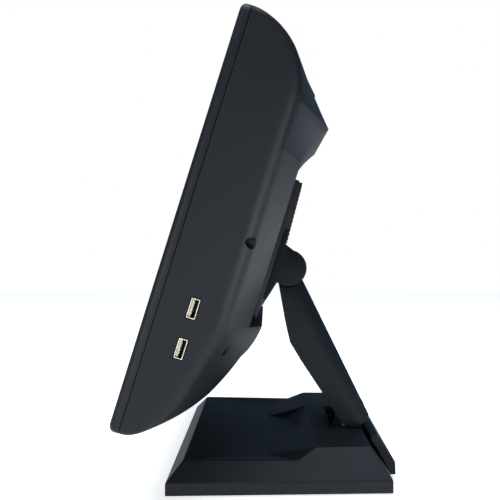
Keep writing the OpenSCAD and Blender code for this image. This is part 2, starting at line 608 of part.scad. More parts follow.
// The side face is one plane through the band's two corners and the platform's rear corner
function side_x(y, z) = rear_x + (base_x - rear_x) * (rear_y - y) / (rear_y - front_y) - (z - band_z) * 0.93;
module base_skin(inset, z0) {
    function sx(y, z) = side_x(y, z) - inset * 1.37;
    fy = front_y + inset;
    ry = rear_y - inset;
    top = [
        [sx(fy, band_z), fy, z0], [sx(ry, band_z), ry, z0],
        [sx(fy, band_z), fy, band_z - inset * 0.4], [sx(ry, band_z), ry, band_z - inset * 0.4],
        [sx(rim_y, rim_z), rim_y + inset * 0.6, rim_z - inset],
        [sx(-48, rim_z - 0.1), -48, rim_z - 0.1 - inset],
        [sx(13, 22.6), 13, 22.6 - inset], [sx(rise_y, rise_z), rise_y, rise_z - inset],
        [sx(step_y, platform_z), step_y, platform_z - inset],
        [sx(plat_y, platform_z), plat_y - inset * 0.5, platform_z - inset],
        [82 - inset, 2, 19.8 - inset], [40, 2, 19.8 - inset], [33, 17, 20 - inset],
        [38, step_y, platform_z - inset]];
    middle = [[0, 28, 20.2 - inset], [0, step_y, platform_z - inset]];
    n = len(top);
    pts = concat(top, [for (p = top) [-p[0], p[1], p[2]]], middle);
    // the side is a fan from its rear lower corner, 3, the only corner that sees the whole hollow outline
    tri = [[0, 2, 1], [1, 2, 3], [2, 4, 3], [4, 5, 3], [5, 6, 3], [6, 7, 3], [7, 8, 3], [8, 9, 3],
        [4, 10, 5], [5, 10, 6], [10, 7, 6], [10, 8, 7], [10, 13, 8], [10, 11, 13], [11, 12, 13],
        [12, 2 * n, 13], [2 * n, 2 * n + 1, 13]];
    flip = [for (t = tri) [for (i = [2, 1, 0]) t[i] < n ? t[i] + n : t[i]]];
    across = [[0, n, n + 2, 2], [2, n + 2, n + 4, 4], [3, n + 3, n + 1, 1], [9, n + 9, n + 3, 3],
        [0, 1, n + 1, n],
        [4, n + 4, n + 11], [4, n + 11, 11], [4, 11, 10], [n + 4, n + 10, n + 11],
        [11, n + 11, n + 12, 12], [12, n + 12, 2 * n],
        [8, 13, 9], [13, 2 * n + 1, 9], [2 * n + 1, n + 9, 9], [2 * n + 1, n + 13, n + 9],
        [n + 13, n + 8, n + 9]];
    polyhedron(pts, concat(tri, flip, across));
}
slot_x = 35;
slot_y = [55, 89];
cover_x = 80;
module base_shell() color(black) difference() {
    base_skin(0, base_z0);
    base_skin(wall, base_z0 - 1);
    translate([-slot_x, slot_y[0], 20]) cube([2 * slot_x, slot_y[1] - slot_y[0], 30]);
    translate([-24, rear_y - 14, 6]) cube([48, 20, 12]);
}
module base_plate() color([0.55, 0.56, 0.58]) difference() {
    translate([0, 0, base_z0]) linear_extrude(height = plate_t) polygon([[-base_x + 6, front_y + 4],
        [base_x - 6, front_y + 4], [rear_x - 5, rear_y - 4], [5 - rear_x, rear_y - 4]]);
    base_screw_grid() rod_z(0, 0, 0, 20, 1.7);
    foot_bolt_grid() rod_z(0, 0, 0, 20, 2.45);
    counter_grid() rod_z(0, 0, 0, 20, 2.25);
    feet_grid() rod_z(0, 0, 0, base_z0 + 1, 8.1);
}
module base_screw_grid() for (x = [-1, 1]) for (y = [-1, 1]) translate([x * 92, 11 + y * 66, 0]) children();
module counter_grid() for (x = [-1, 1]) for (y = [-1, 1])
    translate([x * counter_x / 2, 11 + y * counter_y / 2, 0]) children();
module feet_grid() for (x = [-1, 1]) for (y = [-1, 1]) translate([x * 98, 11 + y * 48, 0]) children();
module rubber_feet() color([0.08, 0.08, 0.08]) feet_grid() rod_z(0, 0, 0, base_z0 + 1, 8);
module base_screws() color(steel) base_screw_grid() {
    rod_z(0, 0, 0.2, base_z0, 3);
    rod_z(0, 0, base_z0 - 0.01, 11, 1.5);
}
module base_rear_cover() color([0.1, 0.11, 0.13]) difference() {
    side(-cover_x, cover_x) polygon([[82.4, 30], [82.4, 33], [88, 34.4], [101.2, 13.2], [101.5, 3.4],
        [94.2, 3.4], [94.2, 10]]);
    side(wall - cover_x, cover_x - wall) polygon([[83.5, 28], [84.8, 31.1], [86.4, 31.5], [98.3, 12.2],
        [98.6, 5.8], [94.1, 5.8], [94.1, 10]]);
    base_skin(0, base_z0);
}

base_shell();
base_plate();
rubber_feet();
base_screws();
base_rear_cover();
foot_bracket();
foot_bracket_bolts();
foot_pin();
foot_washers();
foot_nut();
neck_arm();
neck_front_shell();
neck_rear_cover();
neck_screws();
tilt_shaft();
tilt_washers();
tilt_nut();
tilt_bracket();
hinge_caps();
bracket_cover();
bracket_screws();
rear_housing();
display_pod();
pod_window();
pod_display();
front_bezel();
touch_glass();
glass_tape();
lcd_panel();
panel_frame();
frame_screws();
housing_screws();
chassis_posts();
mainboard();
board_standoffs();
board_screws();
processor();
heat_sink();
memory_module();
solid_state_drive();
touch_controller();
speaker();
io_panel();
dc_inlet();
lan_port();
usb_stack();
serial_ports();
drawer_port();
side_usb_board();
usb_shells();
usb_tongues();
usb_contacts();
power_button();
button_switch();
status_lamp();
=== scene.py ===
import bpy
import bmesh
import math
import numpy as np
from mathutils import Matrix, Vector


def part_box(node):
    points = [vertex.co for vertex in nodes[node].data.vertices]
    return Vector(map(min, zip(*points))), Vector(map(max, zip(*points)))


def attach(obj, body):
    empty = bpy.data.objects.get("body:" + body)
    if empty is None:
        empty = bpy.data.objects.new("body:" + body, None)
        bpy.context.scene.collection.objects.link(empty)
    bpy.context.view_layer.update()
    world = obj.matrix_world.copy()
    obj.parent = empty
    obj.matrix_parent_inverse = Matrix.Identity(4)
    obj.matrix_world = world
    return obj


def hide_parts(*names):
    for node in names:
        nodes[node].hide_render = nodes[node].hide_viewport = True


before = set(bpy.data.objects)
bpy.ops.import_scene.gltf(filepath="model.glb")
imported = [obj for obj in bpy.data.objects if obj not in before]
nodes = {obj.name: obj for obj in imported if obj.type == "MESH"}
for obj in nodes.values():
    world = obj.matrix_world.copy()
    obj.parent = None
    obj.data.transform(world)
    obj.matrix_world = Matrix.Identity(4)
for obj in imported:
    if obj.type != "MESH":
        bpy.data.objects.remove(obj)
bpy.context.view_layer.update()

# ---------------------------------------------------------------- camera
# The camera stands level at the USB side and looks straight across the counter, so that
# the terminal is seen edge on. Its small shift puts the horizon a little above the middle.
camera = bpy.data.objects.new("side_camera", bpy.data.cameras.new("side_camera"))
bpy.context.scene.collection.objects.link(camera)
camera.location = (0.650, 0.002, 0.187)
camera.rotation_euler = (math.radians(90), 0, math.radians(90))
camera.data.lens = 52.92
camera.data.sensor_width = 36
camera.data.shift_x = -0.035
camera.data.shift_y = -0.024
camera.data.clip_end = 50
bpy.context.scene.camera = camera


# ---------------------------------------------------------------- studio
# A pale floor in front of a white backdrop, which the camera sees white but which itself gives only
# a dim blue light. Three soft lamps: a blue one overhead, a warm one low beside the camera, and a
# small warm one low behind, which draws the line of light along the head's ridge.
class Wire:
    """One socket of a finish. Plus, minus, times, less and greater on it add Math nodes."""

    def __init__(self, finish, socket):
        self.finish, self.socket = finish, socket

    def maths(self, operation, first, second):
        return self.finish.node("ShaderNodeMath", {"operation": operation}, {0: first, 1: second})

    def __add__(self, other):
        return self.maths("ADD", self, other)

    def __radd__(self, other):
        return self.maths("ADD", other, self)

    def __sub__(self, other):
        return self.maths("SUBTRACT", self, other)

    def __rsub__(self, other):
        return self.maths("SUBTRACT", other, self)

    def __mul__(self, other):
        return self.maths("MULTIPLY", self, other)

    def __rmul__(self, other):
        return self.maths("MULTIPLY", other, self)

    def __lt__(self, other):
        return self.maths("LESS_THAN", self, other)

    def __gt__(self, other):
        return self.maths("GREATER_THAN", self, other)


class Finish:
    """A material, or the studio's backdrop, and the one way in which its nodes are made."""

    def __init__(self, name, holder=None):
        self.material = holder or bpy.data.materials.new(name)
        self.material.use_nodes = True
        self.tree = self.material.node_tree
        self.tree.nodes.clear()
        self.place = self.node("ShaderNodeTexCoord", out="Object")

    def node(self, kind, settings=None, sockets=None, out=0):
        """Adds a node: its settings first, then its sockets' values or links. Gives one output."""
        made = self.tree.nodes.new(kind)
        for name, value in (settings or {}).items():
            if name == "stops":
                ramp = made.color_ramp.elements
                while len(ramp) < len(value):
                    ramp.new(0.5)
                for element, (at, colour) in zip(ramp, value):
                    element.position, element.color = at, colour
            else:
                setattr(made, name, value)
        for name, value in (sockets or {}).items():
            if isinstance(value, Wire):
                self.tree.links.new(value.socket, made.inputs[name])
            else:
                made.inputs[name].default_value = value
        return Wire(self, made.outputs[out])

    def stretched(self, x, y, z):
        """The place on the object, in metres, times three numbers."""
        return self.node("ShaderNodeVectorMath", {"operation": "MULTIPLY"}, {0: self.place, 1: (x, y, z)})

    def axis(self, name):
        """One coordinate of the place on the object, in metres."""
        return self.node("ShaderNodeSeparateXYZ", None, {0: self.place}, name)

    def noise(self, scale, detail=2.0, place=None, roughness=0.5):
        """Soft noise from 0 to 1, with `scale` lumps to the metre."""
        return self.node("ShaderNodeTexNoise", None, {"Vector": place or self.place, "Scale": scale,
                         "Detail": detail, "Roughness": roughness})

    def between(self, mask, first, second):
        """Two colours mixed by a mask: the first where it is 0."""
        return self.node("ShaderNodeMix", {"data_type": "RGBA"}, {"Factor": mask, 6: first, 7: second}, 2)

    def smooth(self, value, low, high):
        """0 below low, 1 above high, and a soft step between them."""
        return self.node("ShaderNodeMapRange", {"interpolation_type": "SMOOTHSTEP"},
                         {"Value": value, "From Min": low, "From Max": high})

    def bump(self, height, strength, depth):
        """A relief for the Normal socket, `depth` metres high where height is 1."""
        return self.node("ShaderNodeBump", None, {"Height": height, "Strength": strength, "Distance": depth})

    def surface(self, **sockets):
        """Ends the finish in one Principled shader with the given sockets."""
        shader = self.node("ShaderNodeBsdfPrincipled", None,
                           {name.replace("_", " "): value for name, value in sockets.items()})
        self.end_in(shader)
        return self.material

    def end_in(self, shader, kind="ShaderNodeOutputMaterial"):
        """Links the shader to the finish's output."""
        end = self.tree.nodes.new(kind)
        self.tree.links.new(shader.socket, end.inputs["Surface"])


def mesh_piece(name, points, faces, finish, body):
    """A new piece from an array of points in metres and a list of faces, with its finish, slot and body."""
    mesh = bpy.data.meshes.new(name)
    mesh.from_pydata(points, [], faces)
    mesh.polygons.foreach_set("use_smooth", np.ones(len(mesh.polygons), bool))
    piece = bpy.data.objects.new(name, mesh)
    bpy.context.scene.collection.objects.link(piece)
    if finish:
        mesh.materials.append(finish)
    if body:
        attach(piece, body)
    return piece


counter = Finish("pale_counter")
counter_finish = counter.surface(
    Base_Color=counter.between(counter.noise(3), (0.86, 0.86, 0.86, 1), (0.9, 0.9, 0.9, 1)),
    Roughness=0.75,
    Emission_Color=(1, 0.985, 0.96, 1),
    Emission_Strength=0.7)
floor_half, floor_z = 1.9, -0.0002
floor_corners = np.array([[-1, -1], [1, -1], [1, 1], [-1, 1]]) * floor_half
counter_top = mesh_piece("counter", np.column_stack([floor_corners, np.full(4, floor_z)]), [[0, 1, 2, 3]],
                         counter_finish, None)

sky = bpy.data.worlds.new("white_backdrop")
bpy.context.scene.world = sky
sky.use_nodes = True
backdrop = Finish("white_backdrop", sky)
seen = backdrop.node("ShaderNodeLightPath", out="Is Camera Ray")
dim_blue, white = (0.11, 0.16, 0.24, 1), (1, 1, 1, 1)
glow = backdrop.node("ShaderNodeBackground", None,
                     {"Color": backdrop.between(seen, dim_blue, white), "Strength": 1.0})
backdrop.end_in(glow, "ShaderNodeOutputWorld")
bpy.context.scene.view_settings.view_transform = "Standard"


def soft_lamp(name, place, aim, size, power, colour):
    """A round area lamp, `size` metres across, that faces the point it is aimed at."""
    lamp = bpy.data.objects.new(name, bpy.data.lights.new(name, "AREA"))
    lamp.data.shape, lamp.data.size, lamp.data.energy, lamp.data.color = "DISK", size, power, colour
    lamp.location = place
    lamp.rotation_euler = (Vector(aim) - Vector(place)).to_track_quat("-Z", "Y").to_euler()
    bpy.context.scene.collection.objects.link(lamp)


soft_lamp("overhead", place=(0.2, -0.1, 1.6), aim=(0, 0, 0.1),
          size=1.4, power=34, colour=(0.78, 0.89, 1.0))
soft_lamp("beside_camera", place=(1.1, -0.5, 0.12), aim=(0.18, -0.05, 0.08),
          size=0.5, power=7, colour=(1.0, 0.97, 0.92))
soft_lamp("behind", place=(0.48, 0.52, 0.03), aim=(0.17, 0.0, 0.11),
          size=0.10, power=2.6, colour=(1.0, 0.93, 0.82))


# ---------------------------------------------------------------- base
# A wedge of black ABS over a steel bottom plate: a faceted deck dips in the middle and rises to
# a platform, where the neck's foot goes in through a slot. Moulded in one, with small radii.
def moulded(name, colour, roughness, specular=0.18, grain=0.12):
    """Fine-grained moulded ABS: a spark-eroded grain of about a third of a millimetre, with faint
    cloudy changes of shade and gloss from the flow in the mould, and a little settled dust."""
    f = Finish(name)
    cloud = f.noise(11, 3)
    fine = f.noise(2600, 2)
    pits = f.noise(900, 3)
    dust = f.smooth(f.noise(420, 6, roughness=0.7), 0.66, 0.74)
    dark, pale, grey = (tuple(k * c for c in colour) + (1,) for k in (0.8, 1.25, 2.2))
    return f.surface(
        Base_Color=f.between(dust * 0.25, f.between(cloud, dark, pale), grey),
        Roughness=roughness - 0.05 + 0.1 * cloud + 0.06 * pits,
        Specular_IOR_Level=specular,
        Normal=f.bump(fine * 0.6 + pits * 0.4, grain, 0.0002))


def eased(name, node, width, finish, body, segments=3, angle=30, smooth=True):
    """A copy of a CAD node as a moulding has it: its triangles merged into whole faces, and every edge
    that turns by more than `angle` degrees rounded by a bevel of the given width in metres. A piece of
    flat facets is not smooth, so that none of them shades into the next."""
    flat_angle = 0.4                    # degrees; triangles that turn by less become one face
    mesh = nodes[node].data.copy()
    merged = bmesh.new()
    merged.from_mesh(mesh)
    bmesh.ops.remove_doubles(merged, verts=merged.verts, dist=1e-6)
    bmesh.ops.dissolve_limit(merged, angle_limit=math.radians(flat_angle),
                             verts=merged.verts, edges=merged.edges)
    merged.to_mesh(mesh)
    merged.free()
    mesh.materials.clear()
    mesh.materials.append(finish)
    mesh.polygons.foreach_set("use_smooth", np.full(len(mesh.polygons), smooth))
    piece = bpy.data.objects.new(name, mesh)
    bpy.context.scene.collection.objects.link(piece)
    rounded = piece.modifiers.new("rounded_edges", "BEVEL")
    rounded.width, rounded.segments, rounded.limit_method = width, segments, "ANGLE"
    rounded.angle_limit = math.radians(angle)
    rounded.harden_normals = smooth
    rounded.miter_outer = "MITER_ARC"
    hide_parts(node)
    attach(piece, body)
    return piece


def painted(node, finish):
    """A CAD node that keeps its shape gets its finish."""
    mesh = nodes[node].data
    mesh.materials.clear()
    mesh.materials.append(finish)


black_abs = moulded("black_moulded_abs", (0.0062, 0.0076, 0.0098), 0.47)
dark_trim = moulded("dark_moulded_trim", (0.0045, 0.0066, 0.0100), 0.46, 0.14)
eased("base_wedge", "base_shell", 0.0009, black_abs, "base", angle=2.5, smooth=False)
eased("base_back_cover", "base_rear_cover", 0.0008, dark_trim, "base", angle=8, smooth=False)


def plated(name, colour, roughness, grain_along=(60, 60, 2500)):
    """Zinc-plated or brushed sheet: fine scratches that run one way, and cloudy patches in the plating."""
    f = Finish(name)
    cloud = f.noise(60, 3)
    lines = f.noise(1.0, 3, f.stretched(*grain_along))
    dark, pale = (tuple(k * c for c in colour) + (1,) for k in (0.8, 1.1))
    return f.surface(
        Base_Color=f.between(cloud * 0.7 + lines * 0.3, dark, pale),
        Roughness=roughness - 0.06 + 0.08 * cloud + 0.1 * lines,
        Metallic=1.0,
        Normal=f.bump(lines, 0.08, 0.0001))


def soft_rubber():
    """Black rubber: dull, with a pitted skin and paler dust in the pits."""
    f = Finish("foot_rubber")
    pits = f.noise(1500, 4)
    return f.surface(
        Base_Color=f.between(pits, (0.010, 0.010, 0.010, 1), (0.022, 0.021, 0.020, 1)),
        Roughness=0.8 + 0.12 * pits,
        Specular_IOR_Level=0.25,
        Normal=f.bump(pits, 0.25, 0.0003))


zinc = plated("zinc_plated_sheet", (0.55, 0.56, 0.57), 0.38)
screw_steel = plated("zinc_plated_screws", (0.52, 0.52, 0.5), 0.3, (900, 900, 900))
painted("base_plate", zinc)
painted("base_screws", screw_steel)
eased("round_feet", "rubber_feet", 0.0006, soft_rubber(), "base")


# ---------------------------------------------------------------- foot hinge
# Two steel lugs on a foot stand up from the bottom plate through the platform's slot. A steel
# pin with a head and a nut clamps the neck's hub between them, over two bronze washers.
def powder_coated(name, colour, roughness):
    """Powder coat on steel: a soft orange-peel skin of about a millimetre."""
    f = Finish(name)
    peel = f.noise(750, 2)
    cloud = f.noise(25, 3)
    dark, pale = (tuple(k * c for c in colour) + (1,) for k in (0.85, 1.15))
    return f.surface(
        Base_Color=f.between(cloud, dark, pale),
        Roughness=roughness + 0.08 * peel,
        Specular_IOR_Level=0.4,
        Normal=f.bump(peel, 0.2, 0.0003))


def turned_bronze():
    """Turned bronze: fine tool rings about the X axis, and brown patches where it has tarnished."""
    f = Finish("turned_bronze")
    tarnish = f.smooth(f.noise(140, 4), 0.4, 0.7)
    rings = f.noise(1.0, 2, f.stretched(6000, 60, 60))
    return f.surface(
        Base_Color=f.between(tarnish, (0.60, 0.40, 0.18, 1), (0.32, 0.19, 0.09, 1)),
        Roughness=0.3 + 0.2 * tarnish + 0.08 * rings,
        Metallic=1.0,
        Normal=f.bump(rings, 0.1, 0.0001))


grey_coat = powder_coated("grey_powder_coat", (0.20, 0.21, 0.22), 0.42)
black_coat = powder_coated("black_powder_coat", (0.010, 0.012, 0.015), 0.42)
bronze = turned_bronze()
eased("foot_lugs", "foot_bracket", 0.0007, grey_coat, "base")
painted("foot_bracket_bolts", screw_steel)
painted("foot_pin", screw_steel)
painted("foot_nut", screw_steel)
painted("foot_washers", bronze)


# ---------------------------------------------------------------- neck
# A grey steel arm of two cheeks and two hubs, hidden in a front shell and a rear cover of dark
# ABS with wide chamfers down the back. Four screws hold the cover to the shell.
painted("neck_arm", grey_coat)
eased("neck_front_moulding", "neck_front_shell", 0.0008, dark_trim, "neck")
eased("neck_back_moulding", "neck_rear_cover", 0.0008, dark_trim, "neck")
painted("neck_screws", screw_steel)
painted("tilt_washers", bronze)


# ---------------------------------------------------------------- tilt bracket
# A black powder-coated plate is screwed to the head's back with two broad ears that hold the
# shaft, which a head and a nut clamp. Plain caps hide the ears' outer faces.
eased("head_bracket", "tilt_bracket", 0.0009, black_coat, "head")
eased("ear_caps", "hinge_caps", 0.0009, dark_trim, "head")
strip_grey = moulded("grey_ribbed_strip", (0.10, 0.10, 0.095), 0.55)
eased("ribbed_strip", "bracket_cover", 0.0003, strip_grey, "head", 2)
for part in ("bracket_screws", "tilt_shaft", "tilt_nut"):
    painted(part, screw_steel)


# ---------------------------------------------------------------- rear housing
# The head's back is one deep moulding in black ABS: side faces that lean in to a rounded ridge,
# a flat back for the bracket, a chin with a ledge, and a round top. It is 2.4 mm thick.
lean = math.radians(17.4)
half_w, head_h, corner_r = 181.0, 290.0, 6.5
wall = 2.4
seam_d, ridge_d, back_d, pod_d = 7.3, 53.3, 68.0, 81.0      # depths behind the screen's face
knee_u, knee_d = 28, 38                 # where the ridge's curve round the bottom ends
kink_u, kink_d = 56, 68.8               # where the curve under the chin ends
chin_u, chin_d = 83.0, 77.5             # the chin's ledge
pod_u, tip_u, face_end = 208.5, 243.0, 272.0    # the pod's parting line, its tip, the end of its face
face_slope = 0.93                       # how fast the pod's slanted face loses depth
crown_u, crown_d = 240.0, 62            # where the round top starts, and its depth behind the seam
crown_r = head_h - crown_u
side_in = 11                            # how far the side leans in from the seam to the ridge
flat_x, tip_x, top_in = 115, 86, 60     # half widths of the flat back and the tip; inset at the top
axis_d, axis_u = 84.7, 131.1            # the tilt axis, in the head's own frame
axis_y, axis_z = 19, 162.5              # the tilt axis above the counter
head_y = axis_y - axis_d * math.cos(lean) - axis_u * math.sin(lean)
head_z = axis_z + axis_d * math.sin(lean) - axis_u * math.cos(lean)


def to_row(points):
    """The head's own millimetres (across, depth behind the glass, height along the screen), turned back
    by the screen's lean about X and moved to the head's place above the counter, in metres."""
    x, d, u = np.moveaxis(np.asarray(points, float), -1, 0)
    return np.stack([x, head_y + d * math.cos(lean) + u * math.sin(lean),
                     head_z - d * math.sin(lean) + u * math.cos(lean)], -1) / 1000


def bend(a, b, c, s):
    """A quadratic curve from a to c that heads for b, at s from 0 to 1."""
    return (1 - s) ** 2 * a + 2 * s * (1 - s) * b + s ** 2 * c


def reached(u, b, c):
    """How far along, from 0 to 1, a quadratic curve from 0 to c that heads for b comes to u."""
    return (np.sqrt((2 * b) ** 2 + 4 * (c - 2 * b) * np.maximum(u, 0)) - 2 * b) / (2 * (c - 2 * b))


def half_width(u):
    """Half of the head's width: straight, with a quarter circle of corner_r at both ends."""
    e = np.clip(corner_r - np.minimum(u, head_h - u), 0, corner_r)
    return half_w - corner_r + np.sqrt(corner_r ** 2 - e ** 2)


def crown(u):
    """The round top's ellipse: 1 at crown_u, 0 at the top of the head."""
    return np.sqrt(np.clip(1 - ((u - crown_u) / crown_r) ** 2, 0, 1))


def ridge_depth(u):
    """Depth of the ridge: a curve round the bottom, a straight rise, a straight back, and the crown."""
    round_bottom = bend(seam_d, 24, knee_d, reached(u, 0.5, knee_u))
    rise = knee_d + (ridge_d - knee_d) * (u - knee_u) / (chin_u - knee_u)
    round_top = seam_d + (ridge_d - seam_d) * crown(u)
    return np.maximum(seam_d + 1, np.select(
        [u < knee_u, u < chin_u, u < crown_u], [round_bottom, rise, ridge_d], round_top))


def back_depth(u):
    """Depth on the middle line: chin, ledge, flat back, the pod's hollow underside and its slanted face."""
    under_chin = np.maximum(ridge_depth(u), bend(seam_d, 51, kink_d, reached(u, 6, kink_u)))
    chin = bend(kink_d, 77, chin_d, reached(u - kink_u, 10, 27))
    under_pod = back_d + (pod_d - back_d) * ((u - pod_u) / (tip_u - pod_u)) ** 2
    slanted = pod_d - face_slope * (u - tip_u)
    round_top = np.where(u < face_end, pod_d, seam_d + crown_d * crown(u))
    return np.select(
        [u < kink_u, u < chin_u, u < pod_u, u < tip_u], [under_chin, chin, back_d, under_pod],
        np.maximum(ridge_depth(u), np.minimum(slanted, round_top)))


def ridge_half(u):
    """Half width at the ridge, side_in from the seam's where the side is deepest."""
    return half_width(u) - side_in * (ridge_depth(u) - seam_d) / (ridge_d - seam_d)


def back_half(u):
    """Half width of the back's flat middle, which narrows to the pod's tip and widens to the crown."""
    rise = back_depth(u) - ridge_depth(u)
    slope = (back_d - ridge_d) / (half_w - side_in - flat_x)
    above_tip = (u - tip_u) / (head_h - tip_u)
    return np.select(
        [u < pod_u, u < tip_u],
        [np.minimum(ridge_half(u) - 2, ridge_half(u) - rise / slope),
         flat_x + (tip_x - flat_x) * (u - pod_u) / (tip_u - pod_u)],
        tip_x + (half_width(u) - top_in - tip_x) * above_tip ** 2)


def both_sides(half, u):
    """Closed rings from the rows (across, depth) of one half and their mirror images, at the heights u."""
    ring = np.concatenate([half, half[:, ::-1] * (-1, 1)], 1)
    return np.concatenate([ring, np.broadcast_to(u[:, None, None], ring.shape[:2] + (1,))], -1)


def head_rings(u, radius=9.0, steps=14):
    """Closed rings across the head at the heights u: from the seam up the side to the ridge, round the
    ridge on a quadratic curve that starts `radius` before it, or 0.42 of the way on a short side,
    across the back, and down the other side."""
    u = u - 1e-4                        # a hair under each height, so that a step belongs to its lower side
    seam = np.stack([half_width(u), np.full_like(u, seam_d)], -1)
    ridge = np.stack([ridge_half(u), ridge_depth(u)], -1)
    back = np.stack([back_half(u), back_depth(u)], -1)

    def towards(end):
        reach = np.linalg.norm(end - ridge, axis=-1, keepdims=True)
        return ridge + (end - ridge) * np.minimum(0.42, radius / np.maximum(reach, 0.01))

    s = np.linspace(0, 1, steps)[None, :, None]
    turn = bend(towards(seam)[:, None], ridge[:, None], towards(back)[:, None], s)
    return both_sides(np.concatenate([seam[:, None], turn, back[:, None]], 1), u + 1e-4)


def closed_loft(rings):
    """Points and faces of a skin over rings (rows, round, 3), with a flat lid at each end."""
    rows, n = rings.shape[:2]
    k, i = np.meshgrid(np.arange(rows - 1), np.arange(n), indexing="ij")
    j = (i + 1) % n
    sides = np.stack([k * n + i, k * n + j, (k + 1) * n + j, (k + 1) * n + i], -1).reshape(-1, 4)
    lids = [list(range(n))[::-1], list(range((rows - 1) * n, rows * n))]
    return rings.reshape(-1, 3), sides.tolist() + lids


def shape(name, points, faces):
    """A mesh object for carving with, in the head's own millimetres."""
    return mesh_piece(name, to_row(points), faces, None, None)


def boxes(*sizes):
    """Points and faces of boxes (x0, x1, d0, d1, u0, u1)."""
    corner = np.array([[0, 0, 0], [1, 0, 0], [1, 1, 0], [0, 1, 0],
                       [0, 0, 1], [1, 0, 1], [1, 1, 1], [0, 1, 1]])
    faces = np.array([[3, 2, 1, 0], [4, 5, 6, 7], [0, 1, 5, 4], [1, 2, 6, 5], [2, 3, 7, 6], [3, 0, 4, 7]])
    sized = np.array(sizes, float).reshape(-1, 3, 2)
    points = sized[:, None, :, 0] * (1 - corner) + sized[:, None, :, 1] * corner
    every = faces[None] + 8 * np.arange(len(sizes))[:, None, None]
    return points.reshape(-1, 3), every.reshape(-1, 4).tolist()


def bars(name, *sizes):
    """Boxes in one shape."""
    return shape(name, *boxes(*sizes))


def rods(name, along, *rods_at, sides=40):
    """Round rods (a, b, low, high, radius) along "x" or "d": circles of `sides` points at low and high,
    joined by walls and closed by lids. a and b are the centre's other two places."""
    t = np.arange(sides) * 2 * np.pi / sides
    points, faces = [], []
    for n, (a, b, low, high, r) in enumerate(rods_at):
        for at in (low, high):
            ring = (np.full(sides, at), a + r * np.cos(t), b + r * np.sin(t))
            points.append(np.stack(ring if along == "x" else (ring[1], ring[0], ring[2]), -1))
        i = np.arange(sides)
        j = (i + 1) % sides
        walls = np.stack([i, j, j + sides, i + sides], -1) + 2 * sides * n
        lids = [(i[::-1] + 2 * sides * n).tolist(), (i + sides + 2 * sides * n).tolist()]
        faces += [w if along == "x" else w[::-1] for w in walls.tolist() + lids]
    return shape(name, np.concatenate(points), faces)


def carve(piece, operation, *tools):
    """Booleans the tools into the piece one after another, then removes them."""
    for tool in tools:
        cut = piece.modifiers.new("carve", "BOOLEAN")
        cut.operation, cut.object, cut.solver = operation, tool, "EXACT"
        done = bpy.data.meshes.new_from_object(piece.evaluated_get(bpy.context.evaluated_depsgraph_get()))
        piece.modifiers.clear()
        piece.data = done
        bpy.data.objects.remove(tool)
    return piece


def finished_moulding(piece, name, width, finish, body, node):
    """Gives a carved piece its name, its small edge radii, its finish and its body."""
    piece.name = name
    piece.data.name = name
    clean = bmesh.new()
    clean.from_mesh(piece.data)
    bmesh.ops.remove_doubles(clean, verts=clean.verts, dist=2e-6)
    bmesh.ops.dissolve_degenerate(clean, edges=clean.edges, dist=2e-6)
    clean.to_mesh(piece.data)
    clean.free()
    piece.data.materials.clear()
    piece.data.materials.append(finish)
    piece.data.polygons.foreach_set("use_smooth", np.ones(len(piece.data.polygons), bool))
    rounded = piece.modifiers.new("rounded_edges", "BEVEL")
    rounded.width, rounded.segments, rounded.limit_method = width, 2, "ANGLE"
    rounded.angle_limit = math.radians(28)
    rounded.harden_normals = True
    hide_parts(node)
    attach(piece, body)
    return piece


heights = np.concatenate([
    knee_u * np.linspace(0, 1, 22) ** 2,
    np.linspace(31, 55, 9), [kink_u],
    np.linspace(58, 82, 9), [chin_u - 0.05, chin_u + 0.05],
    np.linspace(100, 200, 6), [pod_u],
    np.linspace(211, crown_u, 11), [tip_u, 248, 254, 260, 266],
    crown_u + crown_r * np.sin(np.linspace(0.445, 1, 26) * np.pi / 2)])
outside = closed_loft(head_rings(heights))


def hollow_rings(u):
    """Rings of the space inside: each point stays one wall inside the outline's lowest neighbour."""
    near = np.stack([u - 3, u, u + 3])
    ridge = np.maximum(seam_d + 0.4, ridge_depth(near).min(0) - 4)
    back = np.maximum(seam_d + 0.4, back_depth(near).min(0) - wall)
    w = half_width(u) - 2.7
    at_seam = np.stack([w, np.full_like(u, seam_d - 2)], -1)
    at_ridge = np.stack([w - side_in * (ridge - seam_d) / (ridge_d - seam_d) - 0.4, ridge], -1)
    at_back = np.stack([np.minimum(back_half(u), w - 40) - 2,
                        np.maximum(ridge, np.where(u > pod_u - 3, ridge, back))], -1)
    return both_sides(np.stack([at_seam, at_ridge, at_back], 1), u)


hollow_rows = np.array([3, 5, 8, 12, 17, 24, 31, 40, 50, 60, 67, 74, 80, 80.2, 140, 205.4, 205.6,
                        240, 252, 262, 270, 276, 281, 285, 287.])
recesses = [(167, 143, 39), (-167, 143, 39), (140, 66, 46), (-140, 66, 46)]     # x, u and floor of each
screw_posts = [(x, u, d - wall, 90, 5.8) for x, u, d in recesses]
bracket_posts = [(x, u, 59, 70, 5) for x in (-37.5, 37.5) for u in (105.5, 180.5)]
button_d, button_u, lamp_u = 27, 66, 82
hollow = shape("hollow", *closed_loft(hollow_rings(hollow_rows)))
carve(hollow, "DIFFERENCE",
      rods("posts", "d", *screw_posts, *bracket_posts),
      bars("bay_walls", (-84.4, 84.4, 22.6, 53.4, -36, 36.4)),
      rods("button_boss", "x", (button_d, button_u, -182, -167, 8.6)))


def pod_zone(name, gap):
    """The space of the customer display pod: everything behind a deck that follows the ridge from the
    side, 1.6 mm inside it, above the parting line, moved in by the gap."""
    u = crown_u + (crown_r - 3) * np.linspace(0, 1, 26)
    deck = np.concatenate([
        [[ridge_d - 1.6 + gap, pod_u + gap]],
        np.stack([ridge_depth(u) - 1.6 + gap, u], -1),
        [[101, head_h - 3], [101, pod_u + gap]]])
    rings = np.stack([np.concatenate([np.full((len(deck), 1), x), deck], -1) for x in (190.0, -190.0)])
    return shape(name, *closed_loft(rings))


